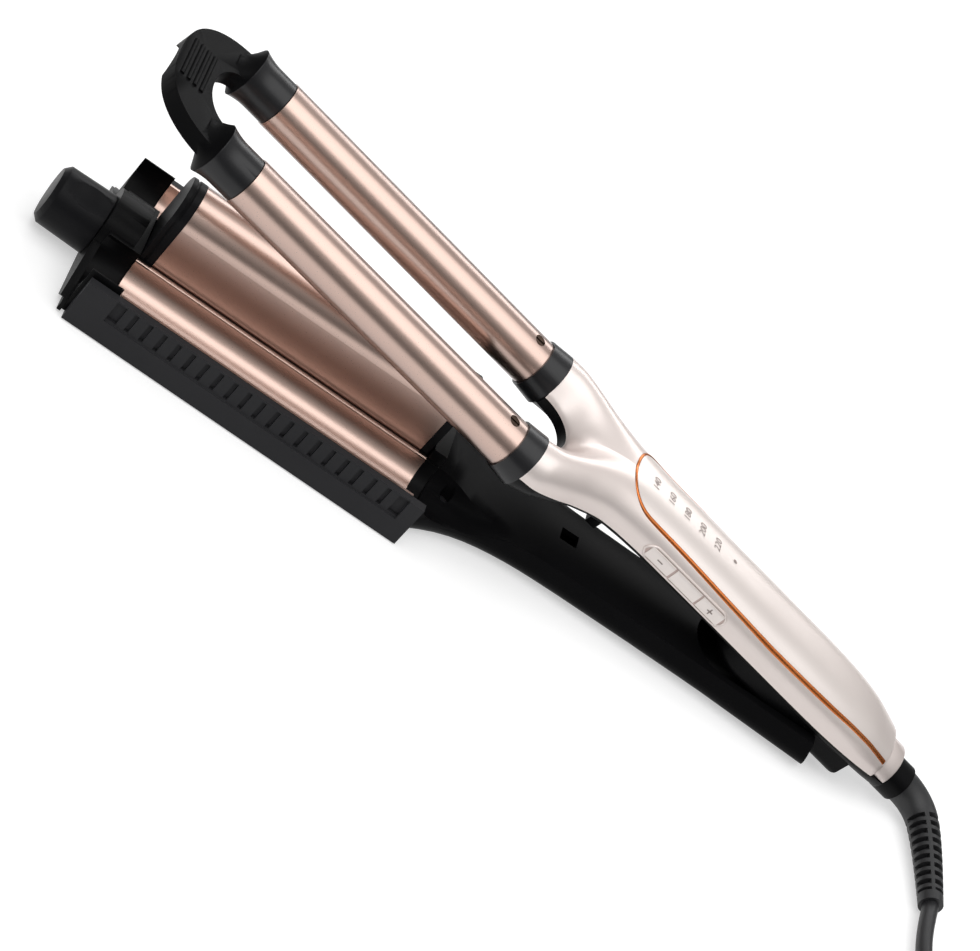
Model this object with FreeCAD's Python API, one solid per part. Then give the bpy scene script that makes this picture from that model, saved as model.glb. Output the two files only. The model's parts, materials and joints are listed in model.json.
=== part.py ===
import FreeCAD, Part
import math
import os

# Hair waver, millimetres. X runs from the tip to the cord, +Y is the far side, Z is up.
# The model is drawn with X = 0 at the tip end of the troughs. The upper arm is drawn closed,
# parallel to the lower arm, and is then opened about the hinge pin. The last step moves
# everything so that the origin is the middle of the underside.

# Fits
running_clear = 0.05
press_clear = 0.03
slide_clear = 0.30
body_clear = 0.50
cut_reach = 60.0

# Jaw and hinge. The lengths behind the head all follow from the carrier's length.
carrier_length = 130.3
axis_z = 19.0
barrel_spacing = 50.0
jaw_open_angle = 12.0
jaw_close_angle = 11.2
hinge_x = carrier_length + 166.9
hinge_z = 11.0
hinge_pin_radius = 2.0
hinge_pin_half = 16.6

# Upper barrels
barrel_radius = 9.5
barrel_wall = 1.0
barrel_start = 1.2
barrel_end = carrier_length + 4.0
cap_radius = 9.15
cap_rim_radius = 10.5
cap_length = 15.8
cap_flare = 8.6
spigot_length = 8.0
ring_length = 8.7
ring_front_radius = 10.3
ring_rear_radius = 11.2
ring_seat = 6.0
barrel_screw_x = barrel_end - 6.2
barrel_screw_angle = 98.0
barrel_screw_radius = 2.2
barrel_screw_length = 5.0
heater_front = 20.0
heater_rear = barrel_end - 22.3
heater_thickness = 4.0

# Tip bridge between the two barrel caps
bridge_thickness = 7.0
bridge_outer_half = 28.5
bridge_inner_half = 13.8
bridge_apex = 42.0
bridge_web = 16.5
bridge_bell = ((1.2, 1.0, 9.4, 8.6), (2.6, 2.1, 8.7, 6.6), (4.4, 3.0, 8.2, 5.0), (6.6, 3.6, 7.9, 4.0))
bell_points = 24
bridge_rib_radius = 1.0
bridge_rib_half = 11.0
bridge_rib_pitch = 3.0
bridge_rib_count = 4

# Handle
handle_front = barrel_end + ring_length
handle_wall = 2.2
crotch_x = handle_front + 13.0
panel_front = handle_front + 37.5
panel_rear = handle_front + 178.5
panel_half = 14.6
panel_rear_half = 11.8
panel_thickness = 1.2
trim_width = 1.1
trim_proud = 0.25
button_front = handle_front + 57.5
button_bottom = 22.2
button_height = 5.0
button_lengths = (12.4, 13.4, 11.4)
button_gap = 0.8
button_proud = 0.5
button_travel = 0.6
button_flange = 0.3
button_flange_thickness = 0.8
wall_inner = 13.8
knuckle_front = handle_front + 107.0
knuckle_rear = handle_front + 175.0
knuckle_half = 14.0
knuckle_bottom = 8.0
knuckle_round = 4.0
peg_x = handle_front + 44.0
peg_length = 4.6
peg_width = 4.6
peg_bottom = 4.6
board_front = handle_front + 55.0
board_length = 60.0
board_half = 11.5
board_bottom = 24.0
board_thickness = 1.6
switch_depth = 3.6
switch_height = 3.2
lamp_radius = 1.3
lamp_height = 5.0
lamp_pitch = 8.3
lamp_count = 6
spring_wire = 1.6
spring_inner = 2.6
spring_half = 8.0
spring_turns = 6
spring_leg = 12.0

# Cord end
cord_axis_z = 19.0
collar_radius = 7.8
collar_length = 9.0
collar_neck_radius = 5.2
collar_neck_length = 6.0
relief_start_radius = 6.4
relief_end_radius = 4.4
relief_core = 1.5
relief_ribs = 11
relief_rib_length = 2.6
relief_sleeve = 13.0
cord_diameter = 6.2
coil_outer = 47.5
coil_pitch = 6.9
coil_turns = 3.375
coil_behind = 114.0
coil_aside = -60.0
coil_start = -90.0
cord_floor_gap = 1.4
tie_width = 8.0
tie_wall = 1.0
tie_angle = 315.0
plug_aside = 8.0
plug_length = 34.0
plug_width = 35.0
plug_height = 13.6
plug_tail = 46.0
plug_pin_radius = 2.0
plug_pin_length = 19.0
plug_pin_spacing = 18.6

# Lower arm
trough_radius = 10.2
trough_sheet = 1.0
trough_length = carrier_length - 5.8
trough_seat = 0.05
carrier_edge = 0.2
carrier_half = barrel_spacing / 2 + trough_radius + trough_sheet + carrier_edge
carrier_bottom = 0.4
carrier_floor = 2.4
carrier_top = 18.8
bulkhead_half = 13.0
bulkhead_top = 24.0
heat_plate_front = 12.0
heat_plate_rear = trough_length - 12.5
heat_plate_half = 7.0
heat_plate_thickness = 3.0
guard_front = -11.5
guard_rear = carrier_length
guard_thickness = 3.8
guard_outer = carrier_half + guard_thickness
guard_step = 0.9
guard_top = 19.0
guard_band = 9.0
guard_slits = 19
guard_slit_width = 1.7
guard_slit_depth = 1.3
guard_notch_width = 4.2
guard_end_block = 12.0
guard_lip = 0.8
yoke_length = 13.0
yoke_wall_top = 22.0
yoke_saddle = 11.3
hump_top = 28.0
hump_round = 13.0
hump_rear = 3.0
plate_thickness = 3.0
plate_half = 38.0
plate_corner = 3.0
plate_top = 16.0
plate_top_half = 14.0
arm_wall = 2.0
arm_seam = 7.6
arm_end = handle_front + 163.0
arm_end_slant = 4.0
recess_front = handle_front + 102.0
recess_half = 14.6
recess_floor = 5.5
peg_hole_length = 7.2
peg_hole_width = 6.6
saddle_lift = 2.4
saddle_bend = handle_front + 7.0
saddle_rear = handle_front + 31.0
cover_screw_x = handle_front - 4.7
cover_screw_y = 16.0
cover_screw_radius = 2.3

# Centre barrel and its dial
centre_half = 11.5
centre_sheet = 1.2
centre_top = 50.0
centre_bottom = 9.6
centre_front_cap = 6.0
centre_rear_cap = 3.2
centre_groove = 0.6
cap_inset = 3.0
lift_travel = 6.6
dial_sweep = 270.0
dial_axis_z = 12.5
dial_radius = 12.0
dial_tip_radius = 11.6
dial_length = 20.5
dial_edge = 2.0
dial_dish_radius = 22.0
dial_dish_depth = 1.7
dial_dish_angle = 112.0
dial_dish_back = 2.5
shaft_radius = 2.5
shaft_insert = 10.0
cam_high = 9.7
cam_width = 5.0
cam_stations = (25.0, trough_length - 24.5)
cam_dwell = 12.0
follower_half = 1.0
follower_gap = 0.7
frame_bar_half = 4.0
frame_bar_height = 4.0
case_screw_radius = 2.2
case_screw_length = 6.0

barrel_y = barrel_spacing / 2
barrel_bore = barrel_radius - barrel_wall
cap_rim_x = barrel_start - cap_length
ring_rear = barrel_end + ring_length
dial_base = -yoke_length - plate_thickness - slide_clear
dial_tip = dial_base - dial_length
cam_low = cam_high - lift_travel
bridge_bottom = axis_z - bridge_thickness / 2
bridge_top = axis_z + bridge_thickness / 2


def vec(x, y, z):
    return FreeCAD.Vector(x, y, z)


def box(x0, x1, y0, y1, z0, z1):
    return Part.makeBox(x1 - x0, y1 - y0, z1 - z0, vec(x0, y0, z0))


def rod_x(radius, x0, x1, y, z):
    return Part.makeCylinder(radius, x1 - x0, vec(x0, y, z), vec(1, 0, 0))


def rod_y(radius, y0, y1, x, z):
    return Part.makeCylinder(radius, y1 - y0, vec(x, y0, z), vec(0, 1, 0))


def rod_z(radius, z0, z1, x, y):
    return Part.makeCylinder(radius, z1 - z0, vec(x, y, z0), vec(0, 0, 1))


def cone_x(radius0, radius1, x0, x1, y, z):
    return Part.makeCone(radius0, radius1, x1 - x0, vec(x0, y, z), vec(1, 0, 0))


def slab_x(points, x0, x1):
    corners = [vec(x0, y, z) for y, z in points]
    wire = Part.makePolygon(corners + corners[:1])
    return Part.Face(wire).extrude(vec(x1 - x0, 0, 0))


def mirrored(shape):
    return shape.mirror(vec(0, 0, 0), vec(0, 1, 0))


def spline(points):
    curve = Part.BSplineCurve()
    curve.interpolate(points)
    return curve.toShape()


def eased(x, stations, column):
    count = len(stations)
    i = max(k for k in range(count - 1) if x >= stations[k][0])
    x0 = stations[i][0]
    x1 = stations[i + 1][0]

    def slope(k):
        low = stations[max(k - 1, 0)]
        high = stations[min(k + 1, count - 1)]
        return (high[column] - low[column]) / (high[0] - low[0])

    t = (x - x0) / (x1 - x0)
    blend = t * t * (3 - 2 * t)
    start = stations[i][column]
    end = stations[i + 1][column]
    pull = (x1 - x0) * t * (1 - t) * (slope(i) * (1 - t) - slope(i + 1) * t)
    return start + (end - start) * blend + pull


def opened(shape):
    shape = shape.copy()
    shape.rotate(vec(hinge_x, 0, hinge_z), vec(0, 1, 0), jaw_open_angle)
    return shape


def opened_point(x, z):
    turn = math.radians(jaw_open_angle)
    dx = x - hinge_x
    dz = z - hinge_z
    return vec(hinge_x + dx * math.cos(turn) + dz * math.sin(turn), 0,
               hinge_z - dx * math.sin(turn) + dz * math.cos(turn))


# Handle stations: x, half width, parting height, rise, depth, how far it is still a fork
handle_stations = (
    (handle_front, barrel_y + ring_rear_radius, axis_z, ring_rear_radius, ring_rear_radius, 1.0),
    (handle_front + 7.0, 35.2, 19.3, 12.4, 9.6, 0.85),
    (handle_front + 15.0, 31.6, 19.8, 13.5, 7.6, 0.55),
    (handle_front + 25.0, 25.8, 20.5, 14.0, 5.2, 0.25),
    (handle_front + 37.0, 20.8, 21.0, 14.2, 5.2, 0.06),
    (handle_front + 53.0, 18.6, 21.0, 14.4, 5.0, 0.0),
    (handle_front + 73.0, 18.2, 21.0, 14.5, 4.6, 0.0),
    (handle_front + 115.0, 18.2, 21.0, 14.5, 4.4, 0.0),
    (handle_front + 151.0, 18.0, 21.0, 14.3, 5.4, 0.0),
    (handle_front + 169.0, 16.6, 21.0, 12.9, 6.8, 0.0),
    (handle_front + 182.0, 13.6, 20.5, 10.4, 7.4, 0.0),
    (handle_front + 191.0, 10.4, 20.0, 8.6, 7.6, 0.0),
)
handle_rear = handle_stations[-1][0]
coil_x = handle_rear + coil_behind
section_points = 25
handle_step = 8.0
fork_floor = 0.15
fork_fall = 1.5
skin_square = 0.8


def handle_section(station, offset, sign):
    x, half, parting, rise, depth, fork = station
    half = half + offset
    height = (rise if sign > 0 else depth) + offset
    arm = ring_rear_radius + offset
    points = []
    for i in range(section_points):
        turn = math.pi * (i / (section_points - 1) - 0.5)
        y = half * math.sin(turn)
        beside = (abs(y) - (half - arm)) / arm
        if beside > 0:
            hump = math.sqrt(max(0.0, 1 - beside * beside))
        else:
            fall = 0.5 + 0.5 * math.cos(math.pi * min(1.0, -beside / fork_fall))
            hump = fork_floor + (1 - fork_floor) * fall
        square = 2.0 + (skin_square * (1 - fork) if sign > 0 else 0.0)
        full = (1 - abs(math.sin(turn)) ** square) ** (1 / square)
        lift = (1 - fork) * full + fork * hump
        points.append(vec(x, y, parting + sign * height * lift))
    curve = spline(points)
    base = Part.makeLine(points[-1], points[0])
    return Part.Wire([curve, base])


def handle_body(offset, sign, front=handle_front, rear=handle_rear):
    steps = int((rear - front) / handle_step) + 1
    wires = []
    for i in range(steps + 1):
        x = front + (rear - front) * i / steps
        station = [x] + [eased(x, handle_stations, c) for c in range(1, 6)]
        wires.append(handle_section(station, offset, sign))
    return Part.makeLoft(wires, True, True)


def crotch(extra):
    radius = crotch_x - handle_front + extra
    return rod_z(radius, axis_z - cut_reach, axis_z + cut_reach, handle_front, 0)


def handle_shell(sign):
    outer = handle_body(0.0, sign).cut(crotch(0.0))
    front = handle_front + handle_wall
    rear = handle_rear - handle_wall
    inner = handle_body(-handle_wall, sign, front, rear).cut(crotch(handle_wall))
    return outer.cut(inner)


def panel_prism(extra):
    half = panel_half + extra
    rear_half = panel_rear_half + extra
    nose = vec(panel_front - extra, 0, 0)
    shoulder = panel_front + panel_half
    edges = [
        Part.Arc(vec(shoulder, -half, 0), nose, vec(shoulder, half, 0)).toShape(),
        Part.makeLine(vec(shoulder, half, 0), vec(panel_rear + extra, rear_half, 0)),
        Part.makeLine(vec(panel_rear + extra, rear_half, 0), vec(panel_rear + extra, -rear_half, 0)),
        Part.makeLine(vec(panel_rear + extra, -rear_half, 0), vec(shoulder, -half, 0)),
    ]
    prism = Part.Face(Part.Wire(edges)).extrude(vec(0, 0, cut_reach))
    prism.translate(vec(0, 0, axis_z + 4))
    return prism


def button_places():
    x = button_front
    for length in button_lengths:
        yield x, x + length
        x = x + length + button_gap


def button_block(x0, x1, extra, y0, y1):
    bottom = button_bottom - extra
    return box(x0 - extra, x1 + extra, y0, y1, bottom, button_bottom + button_height + extra)


parts = {}

# Upper arm: barrels, heaters, caps, rings and screws
screw_turn = math.radians(barrel_screw_angle)
screw_out = vec(0, math.cos(screw_turn), math.sin(screw_turn))
screws = []
for side, y in (("near", -barrel_y), ("far", barrel_y)):
    centre = vec(barrel_screw_x, y, axis_z)
    screw_foot = centre + screw_out * (barrel_radius - barrel_screw_length)
    screw_way = Part.makeCylinder(barrel_screw_radius + press_clear, barrel_screw_length + 2,
                                  screw_foot, screw_out)
    tube = rod_x(barrel_radius, barrel_start, barrel_end + ring_seat, y, axis_z)
    tube = tube.cut(rod_x(barrel_bore, barrel_start - 1, barrel_end + ring_seat + 1, y, axis_z))
    parts["barrel_" + side] = tube.cut(screw_way)
    screw = Part.makeCylinder(barrel_screw_radius, barrel_screw_length - 0.3, screw_foot, screw_out)
    slot = box(barrel_screw_x - 4, barrel_screw_x + 4, -0.35, 0.35, -0.8, 0.8)
    slot.rotate(vec(barrel_screw_x, 0, 0), vec(1, 0, 0), barrel_screw_angle - 90)
    slot.translate(vec(0, y, axis_z) + screw_out * (barrel_radius - 0.3))
    screws.append(screw.cut(slot))

    core = rod_x(barrel_bore - press_clear, heater_front, heater_rear, y, axis_z)
    half = heater_thickness / 2
    slice_box = box(heater_front, heater_rear, y - 20, y + 20, axis_z - half, axis_z + half)
    parts["barrel_heater_" + side] = core.common(slice_box)

    flare = [
        Part.makeLine(vec(barrel_start, 0, 0), vec(barrel_start, 0, cap_radius)),
        Part.makeLine(vec(barrel_start, 0, cap_radius), vec(cap_rim_x + cap_flare, 0, cap_radius)),
        Part.Arc(vec(cap_rim_x + cap_flare, 0, cap_radius),
                 vec(cap_rim_x + cap_flare * 0.42, 0, cap_radius + (cap_rim_radius - cap_radius) * 0.3),
                 vec(cap_rim_x, 0, cap_rim_radius)).toShape(),
        Part.makeLine(vec(cap_rim_x, 0, cap_rim_radius), vec(cap_rim_x, 0, 0)),
        Part.makeLine(vec(cap_rim_x, 0, 0), vec(barrel_start, 0, 0)),
    ]
    cap = Part.Face(Part.Wire(flare)).revolve(vec(0, 0, 0), vec(1, 0, 0), 360)
    cap.translate(vec(0, y, axis_z))
    spigot = rod_x(barrel_bore - press_clear, barrel_start, barrel_start + spigot_length, y, axis_z)
    parts["barrel_cap_" + side] = cap.fuse(spigot).removeSplitter()

    ring = cone_x(ring_front_radius, ring_rear_radius, barrel_end, ring_rear, y, axis_z)
    ring = ring.cut(rod_x(barrel_radius + press_clear, barrel_end - 1, barrel_end + ring_seat, y, axis_z))
    stub_start = barrel_screw_x - 2 * barrel_screw_radius
    ring = ring.fuse(rod_x(barrel_bore - press_clear, stub_start, ring_rear - 1, y, axis_z))
    parts["base_ring_" + side] = ring.cut(screw_way).removeSplitter()
parts["barrel_screws"] = Part.Compound(screws)


# Tip bridge: a flat strap with bell skirts at the caps and a hollow that clears the dial.
# The bell's stations are: distance from the cap, shift inwards, half width, half height.
def bell(side):
    rings = []
    first = (0.0, 0.0, cap_rim_radius, cap_rim_radius)
    for back, inward, half, rise in (first,) + bridge_bell:
        ring = []
        for i in range(bell_points):
            turn = 2 * math.pi * i / bell_points
            ring.append(vec(cap_rim_x - back, side * (barrel_y - inward) + half * math.cos(turn),
                            axis_z + rise * math.sin(turn)))
        curve = Part.BSplineCurve()
        curve.interpolate(Points=ring, PeriodicFlag=True)
        rings.append(Part.Wire(curve.toShape()))
    return Part.makeLoft(rings, True, True)


def bridge():
    outer = [(cap_rim_x, bridge_outer_half + 1.5), (-25.0, bridge_outer_half), (-33.0, 24.3),
             (-38.2, 18.5), (1 - bridge_apex, 11.0)]
    inner = [(cap_rim_x, bridge_inner_half + 1.5), (-20.0, bridge_inner_half - 0.4), (-23.8, 8.5)]
    outer_line = [vec(x, -y, 0) for x, y in outer] + [vec(-bridge_apex, 0, 0)]
    outer_line += [vec(x, y, 0) for x, y in reversed(outer)]
    inner_line = [vec(x, y, 0) for x, y in inner] + [vec(bridge_web - bridge_apex, 0, 0)]
    inner_line += [vec(x, -y, 0) for x, y in reversed(inner)]
    edges = [
        spline(outer_line),
        Part.makeLine(outer_line[-1], inner_line[0]),
        spline(inner_line),
        Part.makeLine(inner_line[-1], outer_line[0]),
    ]
    strap = Part.Face(Part.Wire(edges)).extrude(vec(0, 0, bridge_thickness))
    strap.translate(vec(0, 0, bridge_bottom))
    for side in (-1, 1):
        strap = strap.fuse(bell(side))
    first_rib = -bridge_apex + 4.0
    for i in range(bridge_rib_count):
        rib_x = first_rib + i * bridge_rib_pitch
        rib = rod_y(bridge_rib_radius, -bridge_rib_half, bridge_rib_half, rib_x, bridge_top - 0.3)
        strap = strap.fuse(rib)
    short = math.radians(jaw_open_angle - jaw_close_angle)
    drop = (hinge_x - (dial_base + dial_tip) / 2) * math.sin(short)
    hollow = rod_x(dial_radius + body_clear, -2 * bridge_apex, 0, 0, dial_axis_z - drop)
    return strap.cut(hollow).removeSplitter()


parts["tip_bridge"] = bridge()

# Handle casing, panel, trim and buttons
outer_skin = handle_body(0.0, 1)
under_panel = handle_body(-panel_thickness, 1)
proud_skin = handle_body(trim_proud, 1)
button_skin = handle_body(button_proud, 1)
top_shell = handle_shell(1)
panel_seat = panel_prism(trim_width).cut(under_panel)
top_shell = top_shell.cut(panel_seat)
parts["display_panel"] = outer_skin.common(panel_prism(-press_clear)).cut(under_panel)
trim_band = panel_prism(trim_width).cut(panel_prism(0.0))
parts["panel_trim"] = proud_skin.common(trim_band).cut(under_panel)

button_names = ("minus_button", "power_button", "plus_button")
button_rear = max(x1 for x0, x1 in button_places())
top_shell = top_shell.cut(button_block(button_front, button_rear, slide_clear, -cut_reach, -10.0))
for name, (x0, x1) in zip(button_names, button_places()):
    body = button_skin.common(button_block(x0, x1, 0.0, -cut_reach, -wall_inner))
    flange = button_block(x0, x1, button_flange, -wall_inner, button_flange_thickness - wall_inner)
    parts[name] = body.fuse(flange).removeSplitter()
parts["handle_top"] = top_shell

bottom_shell = handle_shell(-1)
knuckle_straight = knuckle_front + knuckle_half
knuckle = box(knuckle_straight, knuckle_rear, -knuckle_half, knuckle_half, knuckle_bottom, axis_z)
knuckle = knuckle.fuse(rod_z(knuckle_half, knuckle_bottom, axis_z, knuckle_straight, 0)).removeSplitter()
knuckle = knuckle.makeFillet(knuckle_round, [e for e in knuckle.Edges
                                            if e.CenterOfMass.z < knuckle_bottom + 0.1])
hollow = box(knuckle_straight, knuckle_rear - handle_wall,
             handle_wall - knuckle_half, knuckle_half - handle_wall,
             knuckle_bottom + handle_wall, axis_z + 5)
bottom_shell = bottom_shell.fuse(knuckle).cut(hollow)
bottom_shell = bottom_shell.cut(rod_y(hinge_pin_radius + running_clear, -knuckle_half - 1, knuckle_half + 1,
                                      hinge_x, hinge_z))
spring_outer = spring_inner + spring_wire
window_half = spring_outer + body_clear
bottom_shell = bottom_shell.cut(box(hinge_x - window_half, hinge_x + window_half, -spring_half - spring_wire,
                                    spring_half + spring_wire, knuckle_bottom - 1, knuckle_bottom + 3))
half_peg = peg_length / 2
shell_bottom = axis_z + 2 - eased(peg_x, handle_stations, 4)
peg = box(peg_x - half_peg, peg_x + half_peg, -peg_width / 2, peg_width / 2, peg_bottom, shell_bottom + 1)
bottom_shell = bottom_shell.fuse(peg)
post_xs = (board_front + 5, board_front + board_length - 5)
for post_x in post_xs:
    for post_y in (-board_half + 3, board_half - 3):
        post = rod_z(1.8, shell_bottom + handle_wall, board_bottom, post_x, post_y)
        bottom_shell = bottom_shell.fuse(post)
neck_way = rod_x(collar_neck_radius + running_clear, handle_rear - 10, handle_rear + 1, 0, cord_axis_z)
parts["handle_bottom"] = bottom_shell.cut(neck_way)
parts["handle_top"] = parts["handle_top"].cut(neck_way)

board_rear = board_front + board_length
parts["control_board"] = box(board_front, board_rear, -board_half, board_half,
                             board_bottom, board_bottom + board_thickness)
board_top = board_bottom + board_thickness
switch_front = button_travel + slide_clear + button_flange_thickness - wall_inner
switches = []
for x0, x1 in button_places():
    middle = (x0 + x1) / 2
    switches.append(box(middle - 3, middle + 3, switch_front, switch_front + switch_depth,
                        board_top, board_top + switch_height))
parts["button_switches"] = Part.Compound(switches)
lamps = []
for i in range(lamp_count):
    lamp_x = board_front + 3 + lamp_radius + i * lamp_pitch
    lamps.append(rod_z(lamp_radius, board_top, board_top + lamp_height, lamp_x, 0))
parts["display_lamps"] = Part.Compound(lamps)

# Collar of the cord swivel
collar = rod_x(collar_radius, handle_rear + slide_clear, handle_rear + collar_length, 0, cord_axis_z)
neck = rod_x(collar_neck_radius, handle_rear - collar_neck_length, handle_rear + 1, 0, cord_axis_z)
parts["swivel_collar"] = collar.fuse(neck).removeSplitter()

for name in list(parts):
    parts[name] = opened(parts[name])


# Cord: straight runs joined by tangent arcs
def route_wire(points):
    edges = []
    radii = []
    last = points[0]
    for before, corner, after in zip(points, points[1:], points[2:]):
        into = (corner - before).normalize()
        out = (after - corner).normalize()
        turn = into.getAngle(out)
        shorter = min((corner - before).Length, (after - corner).Length)
        reach = 0.45 * shorter
        radii.append(reach / math.tan(turn / 2))
        start = corner - into * reach
        end = corner + out * reach
        inward = (out - into).normalize()
        middle = corner + inward * (radii[-1] / math.cos(turn / 2) - radii[-1])
        edges.append(Part.LineSegment(last, start).toShape())
        edges.append(Part.Arc(start, middle, end).toShape())
        last = end
    edges.append(Part.LineSegment(last, points[-1]).toShape())
    return Part.Wire(edges), radii


def swept(wire, radius, start, direction):
    ring = Part.Wire(Part.makeCircle(radius, start, direction))
    return wire.makePipeShell([ring], True, False)


collar_end = opened_point(handle_rear + collar_length, cord_axis_z)
along = (opened_point(handle_rear + collar_length + 1, cord_axis_z) - collar_end).normalize()
cord_radius = cord_diameter / 2
coil_z = cord_radius + cord_floor_gap
relief_points = [collar_end, collar_end + along * 11.0, vec(handle_rear + 28.0, -20.0, 6.4),
                 vec(handle_rear + 33.6, -46.0, 5.4)]
coil_entry = vec(coil_x, coil_aside - coil_outer, coil_z)
cord_points = [relief_points[-1], vec(handle_rear + 32.6, -64.0, 4.9), vec(handle_rear + 37.0, -82.0, 4.6),
               vec(handle_rear + 50.5, -97.0, coil_z), vec(handle_rear + 69.0, -105.5, coil_z),
               vec(handle_rear + 91.5, coil_entry.y, coil_z), coil_entry]


def strain_relief():
    wire, radii = route_wire(relief_points)
    core = swept(wire, relief_end_radius - relief_core / 2, collar_end, along)
    length = wire.Length
    count = relief_ribs
    shape = core
    step = (length - relief_sleeve - relief_rib_length) / (count - 1)
    starts = [relief_sleeve + i * step for i in range(count)]
    sleeve_parts = 4
    pieces = [(i * relief_sleeve / sleeve_parts, relief_sleeve / sleeve_parts + 0.6)
              for i in range(sleeve_parts)]
    pieces += [(s, relief_rib_length) for s in starts]
    for start, thickness in pieces:
        middle = min(start + thickness / 2, length - thickness / 2)
        place = wire.discretize(Distance=0.25)
        share = min(int(middle / length * (len(place) - 1)), len(place) - 2)
        direction = (place[share + 1] - place[share]).normalize()
        taper = middle / length
        radius = relief_start_radius + (relief_end_radius - relief_start_radius) * taper
        base = place[share] - direction * (thickness / 2)
        shape = shape.fuse(Part.makeCylinder(radius, thickness, base, direction))
    return shape.removeSplitter().cut(parts["swivel_collar"]), radii


parts["strain_relief"], relief_radii = strain_relief()
cord_wire, cord_radii = route_wire(cord_points)
cord_start_way = (cord_points[1] - cord_points[0]).normalize()
parts["cord"] = swept(cord_wire, cord_radius, cord_points[0], cord_start_way)


# Coil: in at a steady rate, up a layer in the half turn where it reverses, out again
def coil_state(turns):
    inner = coil_outer - coil_pitch * coil_turns
    if turns <= coil_turns:
        radius = coil_outer - coil_pitch * turns
        rate = -coil_pitch
        lift = 0.0
        climb = 0.0
    elif turns <= coil_turns + 0.5:
        share = (turns - coil_turns) / 0.5
        radius = inner - coil_pitch * share * (1 - share) / 2
        rate = coil_pitch * (2 * share - 1)
        lift = coil_pitch * (share - math.sin(2 * math.pi * share) / (2 * math.pi))
        climb = coil_pitch * (1 - math.cos(2 * math.pi * share)) / 0.5
    else:
        radius = inner + coil_pitch * (turns - coil_turns - 0.5)
        rate = coil_pitch
        lift = coil_pitch
        climb = 0.0
    angle = math.radians(coil_start) + 2 * math.pi * turns
    place = vec(coil_x + radius * math.cos(angle), coil_aside + radius * math.sin(angle),
                coil_z + lift)
    way = vec(rate * math.cos(angle) - 2 * math.pi * radius * math.sin(angle),
              rate * math.sin(angle) + 2 * math.pi * radius * math.cos(angle), climb)
    return place, way.normalize()


def biarc(start, way0, end, way1):
    gap = end - start
    both = way0 + way1
    a = 2 * (1 - way0.dot(way1))
    b = 2 * gap.dot(both)
    c = -gap.dot(gap)
    if abs(a) < 1e-9:
        reach = -c / b
    else:
        reach = (-b + math.sqrt(b * b - 4 * a * c)) / (2 * a)
    joint = (start + end + (way0 - way1) * reach) * 0.5
    chord = joint - start
    joint_way = (chord * (2 * chord.dot(way0) / chord.dot(chord)) - way0).normalize()
    edges = []
    for p, way, q in ((start, way0, joint), (joint, joint_way, end)):
        chord = q - p
        square = chord - way * chord.dot(way)
        if square.Length < 1e-6 * chord.Length:
            edges.append(Part.LineSegment(p, q).toShape())
            continue
        radius = chord.dot(chord) / (2 * square.Length)
        side = square.normalize()
        centre = p + side * radius
        middle = centre + ((p + q) * 0.5 - centre).normalize() * radius
        edges.append(Part.Arc(p, middle, q).toShape())
    return edges


def winding(places):
    edges = []
    for (p, way), (q, next_way) in zip(places, places[1:]):
        edges += biarc(p, way, q, next_way)
    return edges


coil_total = 2 * coil_turns + 0.5
coil_steps = int(round(coil_total * 4))
states = [coil_state(coil_total * i / coil_steps) for i in range(coil_steps + 1)]
states[0] = (coil_entry, vec(1, 0, 0))
plug_z = plug_height / 2
plug_back = vec(states[-1][0].x + plug_aside, states[-1][0].y + plug_tail, plug_z)
lead = vec(plug_back.x, plug_back.y - cord_diameter, plug_z)
states.append((lead, vec(0, 1, 0)))
coil_wire = Part.Wire(winding(states) + [Part.LineSegment(lead, plug_back).toShape()])
parts["cord_coil"] = swept(coil_wire, cord_radius, coil_entry, vec(1, 0, 0))

bundle_in = coil_outer - coil_pitch * coil_turns - cord_radius - slide_clear
bundle_out = coil_outer + cord_radius + slide_clear
bundle_low = cord_floor_gap - slide_clear
bundle_high = coil_z + coil_pitch + cord_radius + slide_clear
tie = box(bundle_in - tie_wall, bundle_out + tie_wall, -tie_width / 2, tie_width / 2,
          bundle_low - tie_wall, bundle_high + tie_wall)
tie = tie.cut(box(bundle_in, bundle_out, -tie_width, tie_width, bundle_low, bundle_high))
tie.rotate(vec(0, 0, 0), vec(0, 0, 1), tie_angle)
tie.translate(vec(coil_x, coil_aside, 0))
parts["cord_tie"] = tie

plug = box(plug_back.x - plug_width / 2, plug_back.x + plug_width / 2,
           plug_back.y, plug_back.y + plug_length, 0, plug_height)
plug = plug.makeChamfer(3.0, [e for e in plug.Edges if abs(e.CenterOfMass.z - plug_z) < 0.1])
parts["plug"] = plug.makeFillet(1.5, [e for e in plug.Edges if abs(e.CenterOfMass.z - plug_z) > 1])
pins = []
for side in (-1, 1):
    pin_x = plug_back.x + side * plug_pin_spacing / 2
    pins.append(rod_y(plug_pin_radius, plug_back.y + plug_length,
                      plug_back.y + plug_length + plug_pin_length, pin_x, plug_z))
parts["plug_pins"] = Part.Compound(pins)

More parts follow.
